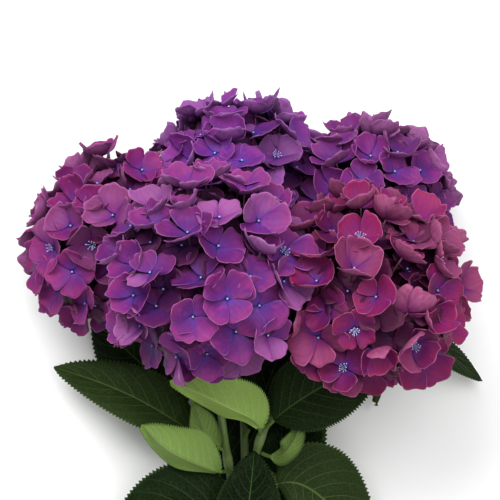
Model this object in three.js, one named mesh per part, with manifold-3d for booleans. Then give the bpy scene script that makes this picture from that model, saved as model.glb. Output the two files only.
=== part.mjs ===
// A bunch of five cut hydrangea stems, laid down on a flat surface, in millimetres.
// +Z is up, the flower heads point to +Y and the cut ends of the stems to -Y.
// Two heads lie at the back on the surface, one lies at the left, and two rest on top of them.
// Every flower head is one solid that stands for all its florets, pressed flat where it meets
// the surface or another head. A rubber band holds the stems together near their cut ends.
import * as THREE from "three";
import { mergeVertices } from "three/addons/utils/BufferGeometryUtils.js";
import Module from "manifold-3d";

const wasm = await Module();
wasm.setup();

// ---------------------------------------------------------------- driving dimensions
const GAP = 0.3; // left between pieces that touch
const FLORET_SPACING = 34; // between neighbouring floret centres on a head
const FLORET_RELIEF = 3.2; // how far the florets stand out from the gaps between them
const HEAD_DETAIL = 7; // subdivisions of the icosahedron that a head starts from
const SMALLEST_EDGE = 0.05; // shorter edges that a cut leaves are taken away

const STEM_RADIUS = 4.2; // at the cut end
const STEM_TAPER = 0.82; // radius at the head, as a share of that
const STEM_SIDES = 10;
const STEM_STEPS = 22;
const NODE_SWELLING = 0.3; // how much thicker a stem is where a pair of leaves grows
const NODE_HALF_LENGTH = 0.02; // of the swelling, as a share of the stem's length
const RAY_COUNT = 6; // branches that carry one head's florets
const RAY_RADIUS = 1.9;
const RAY_SPREAD = 26; // how far from the stem's line a ray ends
const RAY_REACH = 24; // how far past the top of the stem a ray ends
const RAY_STAGGER = 0.8; // each ray leaves the stem this much below the one before
const RAY_STEPS = 5;
const RAY_SIDES = 6;

const LEAF_STEPS = 13; // along a leaf
const LEAF_ACROSS = 6; // across a leaf
const LEAF_HALF_THICKNESS = 0.45;
const PETIOLE_SHARE = 0.15; // of a leaf's length
const PETIOLE_RADIUS = 1.8;
const LEAF_BASE_POWER = 0.6; // how fast a blade widens at its base
const LEAF_TIP_POWER = 0.75; // and narrows to its tip

const BAND_Y = -300; // where the rubber band sits
const BAND_WIDTH = 7;
const BAND_THICKNESS = 1.2;
const BUNDLE_HEIGHT = 29; // of the bundle's centre line at the band
const BUNDLE_RADIUS = 8.4; // of the ring that the five stems stand on there

// Each head: centre, the way its crown points, the radius across, and the heights of its
// crown and of its underside along that axis.
const HEADS = {
  front: { centre: [-34, -20, 174], axis: [0.02, 0.6, 0.8], radius: 93, crown: 82, base: 72 },
  right: { centre: [101, -33, 160], axis: [0.26, 0.48, 0.84], radius: 89, crown: 82, base: 74 },
  left: { centre: [-119, 10, 80], axis: [-0.6, 0.42, 0.68], radius: 91, crown: 72, base: 66 },
  back: { centre: [-14, 84, 65], axis: [-0.05, 0.97, 0.2], radius: 77, crown: 54, base: 60 },
  back_right: { centre: [114, 51, 65], axis: [0.4, 0.9, 0.15], radius: 76, crown: 68, base: 60 },
};

// Each stem: where it stands on the ring in the band, in degrees from +X towards +Z, its cut
// end, the points it passes on its way to its head, and where its leaf pairs grow, as a share
// of its length from the cut end.
const STEMS = {
  front: { ring: 104, end: [-3, -417, 20.5], way: [[-20, -196, 62]], nodes: [0.42, 0.64] },
  right: { ring: 32, end: [8.5, -408, 15.5], way: [[9, -176, 58]], nodes: [0.45, 0.66] },
  left: { ring: 176, end: [-13.5, -402, 12], way: [[-46, -160, 30]], nodes: [0.4, 0.58] },
  back: { ring: 248, end: [-5.5, -412, 4.5], way: [[-6, -150, 26]], nodes: [0.44, 0.68] },
  back_right: { ring: 320, end: [6, -404, 4.5], way: [[44, -140, 30]], nodes: [0.46, 0.7] },
};

// Each leaf: the stem it grows from, the four control points of its midrib from the stem to
// its tip, the way its upper side faces at the base and at the tip, its half width, and the
// angle in degrees that each half is folded up from the midrib.
const LEAVES = {
  left_long: {
    stem: "left",
    midrib: [[-40, -180, 30], [-64, -160, 52], [-118, -126, 50], [-184, -110, 32]],
    up: [0.05, 0.55, 0.8],
    upTip: [-0.2, 0.45, 0.85],
    width: 31,
    fold: 26,
  },
  left_upper: {
    stem: "left",
    midrib: [[-47, -153, 30], [-74, -138, 44], [-104, -102, 30], [-150, -66, 9]],
    up: [0, 0.15, 0.98],
    upTip: [-0.35, 0, 0.94],
    width: 44,
    fold: 6,
  },
  left_curled: {
    stem: "front",
    midrib: [[-20, -204, 61], [-40, -202, 102], [-72, -182, 114], [-98, -158, 98]],
    up: [0.1, 0.6, -0.75],
    upTip: [-0.1, 0.5, -0.75],
    width: 30,
    fold: 34,
  },
  left_low: {
    stem: "front",
    midrib: [[-13, -243, 50], [-26, -232, 80], [-74, -236, 72], [-134, -296, 8]],
    up: [0.1, 0.1, 0.98],
    upTip: [-0.5, 0, 0.86],
    width: 50,
    fold: 8,
  },
  bright: {
    stem: "right",
    midrib: [[9, -172, 58], [14, -150, 104], [-25, -138, 114], [-72, -118, 102]],
    up: [0.1, 0.5, -0.86],
    upTip: [0, 0.5, -0.86],
    width: 30,
    fold: 38,
  },
  small: {
    stem: "front",
    midrib: [[-24, -184, 66], [-34, -180, 74], [-44, -162, 78], [-53, -138, 74]],
    up: [0.4, 0.2, -0.9],
    upTip: [0.4, 0.2, -0.9],
    width: 15,
    fold: 16,
  },
  centre_upper: {
    stem: "back",
    midrib: [[-5, -176, 29], [4, -160, 48], [16, -122, 56], [40, -66, 50]],
    up: [0, -0.2, 0.98],
    upTip: [0, -0.2, 0.98],
    width: 27,
    fold: 8,
  },
  right_upper: {
    stem: "right",
    midrib: [[12, -168, 58], [30, -140, 98], [80, -114, 92], [128, -92, 62]],
    up: [-0.1, 0, 0.98],
    upTip: [0.3, -0.1, 0.95],
    width: 37,
    fold: 8,
  },
  right_tip: {
    stem: "back_right",
    midrib: [[52, -124, 34], [62, -138, 52], [69, -156, 50], [69, -178, 34]],
    up: [0.93, 0.3, 0.2],
    upTip: [0.96, 0.1, 0.2],
    width: 20,
    fold: 20,
  },
  right_hanging: {
    stem: "back_right",
    midrib: [[80, -74, 46], [104, -84, 46], [120, -112, 34], [121, -148, 12]],
    up: [0.88, 0.35, 0.3],
    upTip: [0.96, 0.1, 0.2],
    width: 22,
    fold: 22,
  },
  right_far: {
    stem: "back_right",
    midrib: [[88, -62, 48], [130, -66, 50], [182, -86, 40], [220, -124, 16]],
    up: [0.2, 0.5, 0.84],
    upTip: [0.3, 0.75, 0.5],
    width: 22,
    fold: 14,
  },
  right_low: {
    stem: "right",
    midrib: [[11, -226, 50], [44, -196, 68], [72, -226, 58], [120, -298, 8]],
    up: [0.05, 0.1, 0.98],
    upTip: [0.5, 0.1, 0.86],
    width: 46,
    fold: 8,
  },
  right_light: {
    stem: "right",
    midrib: [[11, -188, 56], [30, -196, 74], [42, -182, 80], [46, -152, 68]],
    up: [0.5, -0.2, -0.8],
    upTip: [0.4, -0.2, -0.8],
    width: 11,
    fold: 18,
  },
  centre_dark: {
    stem: "back_right",
    midrib: [[17, -214, 27], [27, -202, 40], [31, -178, 42], [30, -150, 34]],
    up: [0.1, 0, 0.99],
    upTip: [0, 0.2, 0.97],
    width: 16,
    fold: 8,
  },
  under_left: {
    stem: "back",
    midrib: [[-7, -262, 21], [-12, -240, 6], [-22, -190, 3], [-34, -112, 4]],
    up: [0, 0, 1],
    upTip: [0, 0, 1],
    width: 42,
    fold: 4,
  },
  under_right: {
    stem: "back_right",
    midrib: [[8, -262, 20], [18, -240, 14], [36, -190, 12], [60, -118, 12]],
    up: [0, 0, 1],
    upTip: [0, 0, 1],
    width: 38,
    fold: 4,
  },
  low_centre: {
    stem: "front",
    midrib: [[-9, -268, 44], [-4, -258, 84], [0, -226, 94], [4, -182, 88]],
    up: [0, -0.15, 0.98],
    upTip: [0, 0.1, 0.98],
    width: 30,
    fold: 10,
  },
};

// ---------------------------------------------------------------- materials
const material = (color, roughness) =>
  new THREE.MeshStandardMaterial({ color, roughness, metalness: 0 });
const HEAD_MATERIALS = {
  front: material(0x8f3a94, 0.6),
  right: material(0x93294f, 0.6),
  left: material(0x8c2f72, 0.6),
  back: material(0x6b3596, 0.6),
  back_right: material(0x6f2f86, 0.6),
};
const LEAF_MATERIAL = material(0x22401f, 0.45);
const STEM_MATERIAL = material(0x6d8f3c, 0.5);
const BAND_MATERIAL = material(0xb98a55, 0.7);

// ---------------------------------------------------------------- vectors and solids
const vector = (point) => new THREE.Vector3(...point);

// A closed mesh as a manifold-3d solid, and back again.
function solidOf(geometry) {
  const bare = geometry.clone();
  bare.deleteAttribute("normal");
  bare.deleteAttribute("uv");
  const merged = mergeVertices(bare, 1e-3);
  return new wasm.Manifold(
    new wasm.Mesh({
      numProp: 3,
      vertProperties: merged.getAttribute("position").array,
      triVerts: new Uint32Array(merged.index.array),
    }),
  );
}

function geometryOf(solid) {
  const mesh = solid.simplify(SMALLEST_EDGE).getMesh();
  const geometry = new THREE.BufferGeometry();
  geometry.setAttribute("position", new THREE.BufferAttribute(mesh.vertProperties, 3));
  geometry.setIndex(new THREE.BufferAttribute(mesh.triVerts, 1));
  geometry.computeVertexNormals();
  return geometry;
}

// The largest body of a solid that a cut may have left in pieces.
function largestBody(solid) {
  return solid.decompose().reduce((a, b) => (a.volume() > b.volume() ? a : b));
}

function cutBy(solid, cutters) {
  return cutters.reduce((rest, cutter) => rest.subtract(cutter), solid);
}

// Closed rings of points joined into one skin with a cap at each end.
function loft(rings) {
  const sides = rings[0].length;
  const positions = rings.flat().flatMap((p) => p.toArray());
  const index = [];
  for (let r = 0; r < rings.length - 1; r++) {
    for (let s = 0; s < sides; s++) {
      const a = r * sides + s;
      const b = r * sides + ((s + 1) % sides);
      index.push(a, b, a + sides, b, b + sides, a + sides);
    }
  }
  for (const [ring, flip] of [[0, true], [rings.length - 1, false]]) {
    const middle = rings[ring]
      .reduce((sum, p) => sum.add(p), new THREE.Vector3())
      .divideScalar(sides);
    const centre = positions.push(...middle.toArray()) / 3 - 1;
    for (let s = 0; s < sides; s++) {
      const a = ring * sides + s;
      const b = ring * sides + ((s + 1) % sides);
      index.push(...(flip ? [b, a, centre] : [a, b, centre]));
    }
  }
  const geometry = new THREE.BufferGeometry();
  geometry.setAttribute("position", new THREE.Float32BufferAttribute(positions, 3));
  geometry.setIndex(index);
  return geometry;
}

// A round tube along a curve, with a radius that changes along it.
function tube(curve, radiusAt, steps, sides) {
  const frames = curve.computeFrenetFrames(steps, false);
  const rings = [];
  for (let i = 0; i <= steps; i++) {
    const middle = curve.getPointAt(i / steps);
    const radius = radiusAt(i / steps);
    const ring = [];
    for (let s = 0; s < sides; s++) {
      const turn = (s / sides) * 2 * Math.PI;
      ring.push(
        middle
          .clone()
          .addScaledVector(frames.normals[i], Math.cos(turn) * radius)
          .addScaledVector(frames.binormals[i], Math.sin(turn) * radius),
      );
    }
    rings.push(ring);
  }
  return solidOf(loft(rings));
}

// ---------------------------------------------------------------- flower heads
// Evenly spread directions over a sphere, one for each floret.
function floretDirections(count) {
  const turn = Math.PI * (3 - Math.sqrt(5));
  const directions = [];
  for (let i = 0; i < count; i++) {
    const height = 1 - (2 * (i + 0.5)) / count;
    const across = Math.sqrt(1 - height * height);
    directions.push(
      new THREE.Vector3(across * Math.cos(turn * i), across * Math.sin(turn * i), height),
    );
  }
  return directions;
}

// How far a head reaches from its centre in one direction, before its florets' relief.
function reachOf(head, direction) {
  const along = direction.dot(vector(head.axis).normalize());
  const height = along > 0 ? head.crown : head.base;
  const across = 1 - along * along;
  return 1 / Math.sqrt(across / head.radius ** 2 + (along * along) / height ** 2);
}

// The plane that two heads press against each other on, as a normal towards the other head
// and an offset along it.
function contactPlane(head, other) {
  const between = vector(other.centre).sub(vector(head.centre));
  const distance = between.length();
  const normal = between.normalize();
  const mine = reachOf(head, normal);
  const theirs = reachOf(other, normal.clone().negate());
  const offset = normal.dot(vector(head.centre)) + (distance * mine) / (mine + theirs);
  return { normal, offset };
}

// A head, made larger all round by grow.
function headSolid(name, grow = 0) {
  const head = HEADS[name];
  const centre = vector(head.centre);
  const area = 4 * Math.PI * head.radius * ((head.crown + head.base) / 2);
  const florets = floretDirections(Math.round(area / FLORET_SPACING ** 2));
  const geometry = new THREE.IcosahedronGeometry(1, HEAD_DETAIL);
  const position = geometry.getAttribute("position");
  for (let i = 0; i < position.count; i++) {
    const direction = new THREE.Vector3().fromBufferAttribute(position, i).normalize();
    const reach = reachOf(head, direction);
    const nearest = Math.min(...florets.map((f) => f.distanceTo(direction))) * reach;
    const dip = Math.min(1, nearest / (FLORET_SPACING / 2)) ** 2;
    const point = direction.multiplyScalar(reach + grow - FLORET_RELIEF * dip).add(centre);
    position.setXYZ(i, ...point.toArray());
  }
  let solid = solidOf(geometry).trimByPlane([0, 0, 1], 0);
  for (const [other, neighbour] of Object.entries(HEADS)) {
    if (other !== name) {
      const { normal, offset } = contactPlane(head, neighbour);
      const away = normal.negate();
      solid = solid.trimByPlane(away.toArray(), -(offset - GAP + Math.min(grow, GAP / 2)));
    }
  }
  return solid;
}

// ---------------------------------------------------------------- stems
function stemTop(name) {
  const head = HEADS[name];
  const axis = vector(head.axis).normalize();
  return vector(head.centre).addScaledVector(axis, -(head.base + RAY_REACH * 0.7));
}

function stemCurve(name) {
  const { ring, end, way } = STEMS[name];
  const turn = THREE.MathUtils.degToRad(ring);
  const inBand = new THREE.Vector3(
    BUNDLE_RADIUS * Math.cos(turn),
    BAND_Y,
    BUNDLE_HEIGHT + BUNDLE_RADIUS * Math.sin(turn),
  );
  const top = stemTop(name);
  const points = [vector(end), inBand, ...way.map(vector), top];
  return new THREE.CatmullRomCurve3(points, false, "centripetal");
}

// The branches from the top of a stem to the underside of its head.
function rayCurves(name) {
  const axis = vector(HEADS[name].axis).normalize();
  const across = new THREE.Vector3(1, 0, 0).cross(axis).normalize();
  const curves = [];
  for (let i = 0; i < RAY_COUNT; i++) {
    const side = across.clone().applyAxisAngle(axis, (i / RAY_COUNT) * 2 * Math.PI);
    const start = stemTop(name)
      .addScaledVector(axis, -STEM_RADIUS - RAY_STAGGER * i)
      .addScaledVector(side, RAY_RADIUS / 2);
    const bend = start.clone().addScaledVector(axis, RAY_REACH * 0.6);
    const stop = start.clone().addScaledVector(axis, RAY_REACH).addScaledVector(side, RAY_SPREAD);
    curves.push(new THREE.QuadraticBezierCurve3(start, bend, stop));
  }
  return curves;
}

// A stem with the rays that fan out to its florets, made thicker all round by grow.
function stemSolid(name, grow = 0) {
  const curve = stemCurve(name);
  const { nodes } = STEMS[name];
  const radiusAt = (share) => {
    const swelling = nodes.reduce(
      (sum, node) => sum + Math.exp(-(((share - node) / NODE_HALF_LENGTH) ** 2)),
      0,
    );
    const taper = 1 - (1 - STEM_TAPER) * share;
    return STEM_RADIUS * taper * (1 + NODE_SWELLING * swelling) + grow;
  };
  let solid = tube(curve, radiusAt, STEM_STEPS, STEM_SIDES);
  if (grow === 0) {
    for (const ray of rayCurves(name)) {
      solid = solid.add(tube(ray, () => RAY_RADIUS, RAY_STEPS, RAY_SIDES));
    }
    for (const other of Object.keys(HEADS)) {
      solid = solid.subtract(headSolid(other, GAP));
    }
  }
  return largestBody(solid);
}

// ---------------------------------------------------------------- leaves
// The width of a blade at a share of its length, as a part of its greatest width.
function bladeProfile(share) {
  const shape = (s) => s ** LEAF_BASE_POWER * (1 - s) ** LEAF_TIP_POWER;
  const widest = LEAF_BASE_POWER / (LEAF_BASE_POWER + LEAF_TIP_POWER);
  return shape(share) / shape(widest);
}

// One ring round a leaf: along its upper side, and back along its lower side.
function leafRing(leaf, curve, share) {
  const middle = curve.getPoint(share);
  const along = curve.getTangent(share);
  const up = vector(leaf.up).lerp(vector(leaf.upTip), share);
  const side = up.clone().cross(along).normalize();
  const normal = along.clone().cross(side).normalize();
  const bladeShare = (share - PETIOLE_SHARE) / (1 - PETIOLE_SHARE);
  const blade = bladeShare > 0 ? bladeProfile(Math.min(bladeShare, 0.995)) : 0;
  const halfWidth = Math.max(PETIOLE_RADIUS * (1 - 0.8 * share), leaf.width * blade);
  const flatness = Math.min(1, halfWidth / PETIOLE_RADIUS - 1);
  const fold = THREE.MathUtils.degToRad(leaf.fold) * flatness;
  const upper = [];
  const lower = [];
  for (let i = 0; i <= LEAF_ACROSS; i++) {
    const across = (2 * i) / LEAF_ACROSS - 1;
    const round = halfWidth * Math.sqrt(Math.max(1 - across * across, 0.12));
    const half = THREE.MathUtils.lerp(round, LEAF_HALF_THICKNESS, Math.max(0, flatness));
    const reach = Math.abs(across) * halfWidth;
    const point = middle
      .clone()
      .addScaledVector(side, Math.sign(across) * reach * Math.cos(fold))
      .addScaledVector(normal, reach * Math.sin(fold));
    upper.push(point.clone().addScaledVector(normal, half));
    lower.unshift(point.clone().addScaledVector(normal, -half));
  }
  return [...upper, ...lower];
}

function leafSolid(name) {
  const leaf = LEAVES[name];
  const curve = new THREE.CubicBezierCurve3(...leaf.midrib.map(vector));
  const rings = [];
  for (let i = 0; i <= LEAF_STEPS; i++) {
    rings.push(leafRing(leaf, curve, i / LEAF_STEPS));
  }
  let solid = solidOf(loft(rings));
  if (solid.volume() < 0) {
    solid = solidOf(loft(rings.map((ring) => ring.toReversed())));
  }
  return solid;
}

// ---------------------------------------------------------------- rubber band
// A loop round the five stems: arcs where it bends round a stem, straight between two.
function bandSolid() {
  const outline = (radius) => {
    const shape = new THREE.Shape();
    const stems = Object.values(STEMS)
      .map(({ ring }) => THREE.MathUtils.degToRad(ring))
      .sort((a, b) => a - b);
    const half = Math.PI / stems.length;
    stems.forEach((turn) => {
      const x = BUNDLE_RADIUS * Math.cos(turn);
      const y = BUNDLE_RADIUS * Math.sin(turn);
      shape.absarc(x, y, radius, turn - half, turn + half, false);
    });
    shape.closePath();
    return shape;
  };
  const inner = STEM_RADIUS + GAP;
  const band = outline(inner + BAND_THICKNESS);
  band.holes.push(new THREE.Path(outline(inner).getPoints(3).toReversed()));
  const geometry = new THREE.ExtrudeGeometry(band, {
    depth: BAND_WIDTH,
    bevelEnabled: false,
    curveSegments: 3,
  });
  geometry.translate(0, 0, -BAND_WIDTH / 2);
  geometry.rotateX(Math.PI / 2);
  geometry.translate(0, BAND_Y, BUNDLE_HEIGHT);
  return solidOf(geometry);
}

// ---------------------------------------------------------------- the bunch
const bunch = new THREE.Group();

function addPiece(name, solid, look) {
  const mesh = new THREE.Mesh(geometryOf(solid), look);
  mesh.name = name;
  bunch.add(mesh);
}

const stemCutters = Object.keys(STEMS).map((name) => stemSolid(name, GAP));
const headCutters = Object.keys(HEADS).map((name) => headSolid(name, GAP));

for (const name of Object.keys(HEADS)) {
  addPiece(`head_${name}`, headSolid(name), HEAD_MATERIALS[name]);
}
for (const name of Object.keys(STEMS)) {
  addPiece(`stem_${name}`, stemSolid(name), STEM_MATERIAL);
}
for (const name of Object.keys(LEAVES)) {
  const solid = cutBy(leafSolid(name), [...stemCutters, ...headCutters]);
  addPiece(`leaf_${name}`, largestBody(solid), LEAF_MATERIAL);
}
addPiece("rubber_band", largestBody(cutBy(bandSolid(), stemCutters)), BAND_MATERIAL);

// The origin is the middle of the bunch's footprint, on the surface that it lies on.
const box = new THREE.Box3().setFromObject(bunch);
const footprint = box.getCenter(new THREE.Vector3());
bunch.position.set(-footprint.x, -footprint.y, -box.min.z);

export default bunch;
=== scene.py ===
"""The looks of a bunch of five cut hydrangeas that lies on its side, in metres.

Every floret, leaf and stem is modelled in the bunch's own frame, where the heads point to +Y
and +Z is up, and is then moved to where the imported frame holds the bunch.
"""

import math
import random
from collections import namedtuple

import bpy
import numpy as np
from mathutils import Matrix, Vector
from mathutils.bvhtree import BVHTree


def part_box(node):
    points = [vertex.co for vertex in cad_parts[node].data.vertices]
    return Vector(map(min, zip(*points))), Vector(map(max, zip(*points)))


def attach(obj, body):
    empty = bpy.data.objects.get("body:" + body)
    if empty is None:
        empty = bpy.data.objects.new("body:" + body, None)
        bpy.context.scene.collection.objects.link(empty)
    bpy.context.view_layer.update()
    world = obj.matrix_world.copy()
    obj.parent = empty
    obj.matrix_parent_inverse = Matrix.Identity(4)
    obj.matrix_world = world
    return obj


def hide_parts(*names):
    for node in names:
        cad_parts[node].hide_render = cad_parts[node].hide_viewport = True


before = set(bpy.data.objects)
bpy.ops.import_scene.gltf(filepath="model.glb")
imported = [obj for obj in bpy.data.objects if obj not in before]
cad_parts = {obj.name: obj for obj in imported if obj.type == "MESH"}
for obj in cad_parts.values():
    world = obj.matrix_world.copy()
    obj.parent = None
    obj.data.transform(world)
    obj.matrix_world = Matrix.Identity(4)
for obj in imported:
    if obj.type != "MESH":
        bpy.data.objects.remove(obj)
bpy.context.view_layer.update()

MM = 0.001
SEED = 3
GOLDEN_TURN = math.pi * (3 - math.sqrt(5))
LOWEST = 0.0002  # nothing reaches below this height, in metres

# ---------------- the camera's frame
CAMERA_HEIGHT = 1.7  # above the surface that the bunch lies on
VIEW_WIDTH = 0.45  # what the picture's width spans at FOCUS_HEIGHT
FOCUS_HEIGHT = 0.1
SENSOR_WIDTH = 36.0

# ---------------- the studio, in metres and watts
FLOOR_HALF_SIZE = 6.0
AREA_LIGHTS = (
    ("key", (-0.6, 1.3, 1.7), (1.4, 1.0), 46),
    ("top", (0.7, 0.7, 2.2), (1.6, 1.4), 32),
    ("fill", (0.9, -1.4, 1.3), (1.6, 1.2), 9),
)
LIGHTS_AIM = (0, 0.05, 0.1)
ROOM_LIGHT = 0.42
FLOOR_DARK = (0.86, 0.86, 0.86)
FLOOR_LIGHT = (0.88, 0.88, 0.88)

# ---------------- the bunch, in mm
# These are the part's own driving dimensions.
STEM_RADIUS = 4.2
STEM_TAPER = 0.82
NODE_SWELLING = 0.3
NODE_HALF_LENGTH = 0.02
RAY_COUNT = 6
RAY_RADIUS = 1.9
RAY_SPREAD = 26
RAY_REACH = 24
RAY_STAGGER = 0.8
PETIOLE_SHARE = 0.15
PETIOLE_RADIUS = 1.8
LEAF_BASE_POWER = 0.6
LEAF_TIP_POWER = 0.75
BAND_Y = -300
BAND_WIDTH = 7
BAND_THICKNESS = 1.2
BUNDLE_HEIGHT = 29
BUNDLE_RADIUS = 8.4
GAP = 0.3

HEADS = {
    "front": dict(centre=(-34, -20, 174), axis=(0.02, 0.6, 0.8), base=72),
    "right": dict(centre=(101, -33, 160), axis=(0.26, 0.48, 0.84), base=74),
    "left": dict(centre=(-119, 10, 80), axis=(-0.6, 0.42, 0.68), base=66),
    "back": dict(centre=(-14, 84, 65), axis=(-0.05, 0.97, 0.2), base=60),
    "back_right": dict(centre=(114, 51, 65), axis=(0.4, 0.9, 0.15), base=60),
}

STEMS = {
    "front": dict(ring=104, end=(-3, -417, 20.5), way=(-20, -196, 62), nodes=(0.42, 0.64)),
    "right": dict(ring=32, end=(8.5, -408, 15.5), way=(9, -176, 58), nodes=(0.45, 0.66)),
    "left": dict(ring=176, end=(-13.5, -402, 12), way=(-46, -160, 30), nodes=(0.4, 0.58)),
    "back": dict(ring=248, end=(-5.5, -412, 4.5), way=(-6, -150, 26), nodes=(0.44, 0.68)),
    "back_right": dict(ring=320, end=(6, -404, 4.5), way=(44, -140, 30), nodes=(0.46, 0.7)),
}

# Each leaf: its half width, the fold of each half in degrees, how light its green is, the way
# its upper side faces at base and tip, and its midrib's control points.
Leaf = namedtuple("Leaf", "width fold light up up_tip midrib")
LEAVES = {
    "left_long": Leaf(
        31, 26, 0.22, (0.05, 0.55, 0.8), (-0.2, 0.45, 0.85),
        ((-40, -180, 30), (-64, -160, 52), (-118, -126, 50), (-184, -110, 32)),
    ),
    "left_upper": Leaf(
        44, 6, 0, (0, 0.15, 0.98), (-0.35, 0, 0.94),
        ((-47, -153, 30), (-74, -138, 44), (-104, -102, 30), (-150, -66, 9)),
    ),
    "left_curled": Leaf(
        30, 34, 0.4, (0.1, 0.6, -0.75), (-0.1, 0.5, -0.75),
        ((-20, -204, 61), (-40, -202, 102), (-72, -182, 114), (-98, -158, 98)),
    ),
    "left_low": Leaf(
        50, 8, 0.02, (0.1, 0.1, 0.98), (-0.5, 0, 0.86),
        ((-13, -243, 50), (-26, -232, 80), (-74, -236, 72), (-134, -296, 8)),
    ),
    "bright": Leaf(
        30, 38, 1, (0.1, 0.5, -0.86), (0, 0.5, -0.86),
        ((9, -172, 58), (14, -150, 104), (-25, -138, 114), (-72, -118, 102)),
    ),
    "small": Leaf(
        15, 16, 0.35, (0.4, 0.2, -0.9), (0.4, 0.2, -0.9),
        ((-24, -184, 66), (-34, -180, 74), (-44, -162, 78), (-53, -138, 74)),
    ),
    "centre_upper": Leaf(
        27, 8, 0, (0, -0.2, 0.98), (0, -0.2, 0.98),
        ((-5, -176, 29), (4, -160, 48), (16, -122, 56), (40, -66, 50)),
    ),
    "right_upper": Leaf(
        37, 8, 0.07, (-0.1, 0, 0.98), (0.3, -0.1, 0.95),
        ((12, -168, 58), (30, -140, 98), (80, -114, 92), (128, -92, 62)),
    ),
    "right_tip": Leaf(
        20, 20, 0.1, (0.93, 0.3, 0.2), (0.96, 0.1, 0.2),
        ((52, -124, 34), (62, -138, 52), (69, -156, 50), (69, -178, 34)),
    ),
    "right_hanging": Leaf(
        22, 22, 0.1, (0.88, 0.35, 0.3), (0.96, 0.1, 0.2),
        ((80, -74, 46), (104, -84, 46), (120, -112, 34), (121, -148, 12)),
    ),
    "right_far": Leaf(
        22, 14, 0.1, (0.2, 0.5, 0.84), (0.3, 0.75, 0.5),
        ((88, -62, 48), (130, -66, 50), (182, -86, 40), (220, -124, 16)),
    ),
    "right_low": Leaf(
        46, 8, 0.2, (0.05, 0.1, 0.98), (0.5, 0.1, 0.86),
        ((11, -226, 50), (44, -196, 68), (72, -226, 58), (120, -298, 8)),
    ),
    "right_light": Leaf(
        11, 18, 0.35, (0.5, -0.2, -0.8), (0.4, -0.2, -0.8),
        ((11, -188, 56), (30, -196, 74), (42, -182, 80), (46, -152, 68)),
    ),
    "centre_dark": Leaf(
        16, 8, 0, (0.1, 0, 0.99), (0, 0.2, 0.97),
        ((17, -214, 27), (27, -202, 40), (31, -178, 42), (30, -150, 34)),
    ),
    "under_left": Leaf(
        42, 4, 0, (0, 0, 1), (0, 0, 1),
        ((-7, -262, 21), (-12, -240, 6), (-22, -190, 3), (-34, -112, 4)),
    ),
    "under_right": Leaf(
        38, 4, 0, (0, 0, 1), (0, 0, 1),
        ((8, -262, 20), (18, -240, 14), (36, -190, 12), (60, -118, 12)),
    ),
    "low_centre": Leaf(
        30, 10, 0, (0, -0.15, 0.98), (0, 0.1, 0.98),
        ((-9, -268, 44), (-4, -258, 84), (0, -226, 94), (4, -182, 88)),
    ),
}

# ---------------- the florets, in mm
FLORET_SPACING = 33.5  # between the centres of neighbouring florets
LAYERS = ((0, FLORET_SPACING), (14, 31), (30, 31))  # each layer's depth and spacing
CROWN_PULL = 0.45  # how much the florets at the skirt turn towards the crown
CONTACT_NEAR = 4.0
BURIED_REACH = 20.0
SHALLOWEST = 5  # how far below the head's surface the highest floret sits
DEPTH_SPREAD = 11  # and how much further the lowest one
UPTURN = 0.3  # how much every floret turns towards +Y, the way the bunch grew
STEEPEST = 69  # most that a sepal's tip stands up, in degrees, before its chance difference
SEPAL_LENGTH = 22.8
SEPAL_THICKNESS = 0.35
SEPAL_START = 0.9  # from the floret's middle
TOP_PAIR_SHIFT = (0.4, 0, 0.7)  # how the two upper sepals are moved, outwards, aside and up
EDGE_UNEVENNESS = 0.035  # of a sepal's outline, as a share of its length
LEAST_CURL = 0.02  # in radians
BEAD_RADIUS = 1.05
BEAD_LOBES = 0.09  # how far its four lobes stand out, as a share of its radius
BEAD_LIFT = 1.5  # above the floret's place
BEAD_RINGS = 7
BEAD_SIDES = 12
STAMEN_SHARES = (0, 0.3, 0.6, 0.86, 0.92, 0.97, 1)  # of a stamen's length, with the anther last
STAMEN_RADII = (0.24, 0.2, 0.18, 0.2, 0.5, 0.5, 0.2)
STALK_BEND = 9  # how far behind the floret its stalk starts to turn
STALK_RADII = (1.1, 0.75)  # of a floret's stalk, at its branch and at the floret
CELL_MARGIN = 0.06  # round each cell of the baking map, as a share of the cell
TRIES = 5200  # places that a head offers its florets
ROOM = (0.74, 0.94)  # a floret needs between these shares of the spacing to its neighbours
DEEP_CUPPING = 0.05  # the hidden florets are nearly flat
DEEP_TURN = 0.45  # and turn less than the outer ones
CLUSTER_SIZE = 15  # florets that make up one piece

# What sets one head's florets apart: how steep the sepals stand at the base, how much more
# they turn up by the tip, how much a floret leans, how many have open stamens, and colours
# from the middle of a floret outwards, with the rim and the underside.
LOOKS = {
    "front": dict(
        rise=9, curl=28, lean=17, open_share=0.06,
        heart=(0.065, 0.028, 0.23), middle=(0.115, 0.014, 0.153), edge=(0.2, 0.024, 0.145),
        rim=(0.4, 0.15, 0.38), under=(0.29, 0.105, 0.29),
    ),
    "right": dict(
        rise=15, curl=38, lean=21, open_share=0.36,
        heart=(0.07, 0.018, 0.2), middle=(0.118, 0.007, 0.083), edge=(0.19, 0.011, 0.07),
        rim=(0.45, 0.15, 0.28), under=(0.27, 0.065, 0.155),
    ),
    "left": dict(
        rise=11, curl=30, lean=19, open_share=0.08,
        heart=(0.06, 0.025, 0.22), middle=(0.125, 0.011, 0.125), edge=(0.2, 0.017, 0.115),
        rim=(0.37, 0.12, 0.3), under=(0.28, 0.085, 0.23),
    ),
    "back": dict(
        rise=10, curl=30, lean=18, open_share=0.06,
        heart=(0.07, 0.035, 0.29), middle=(0.11, 0.018, 0.175), edge=(0.18, 0.026, 0.19),
        rim=(0.38, 0.15, 0.41), under=(0.27, 0.1, 0.31),
    ),
    "back_right": dict(
        rise=12, curl=34, lean=20, open_share=0.07,
        heart=(0.055, 0.028, 0.23), middle=(0.1, 0.013, 0.132), edge=(0.165, 0.02, 0.14),
        rim=(0.36, 0.14, 0.33), under=(0.27, 0.09, 0.24),
    ),
}

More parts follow.
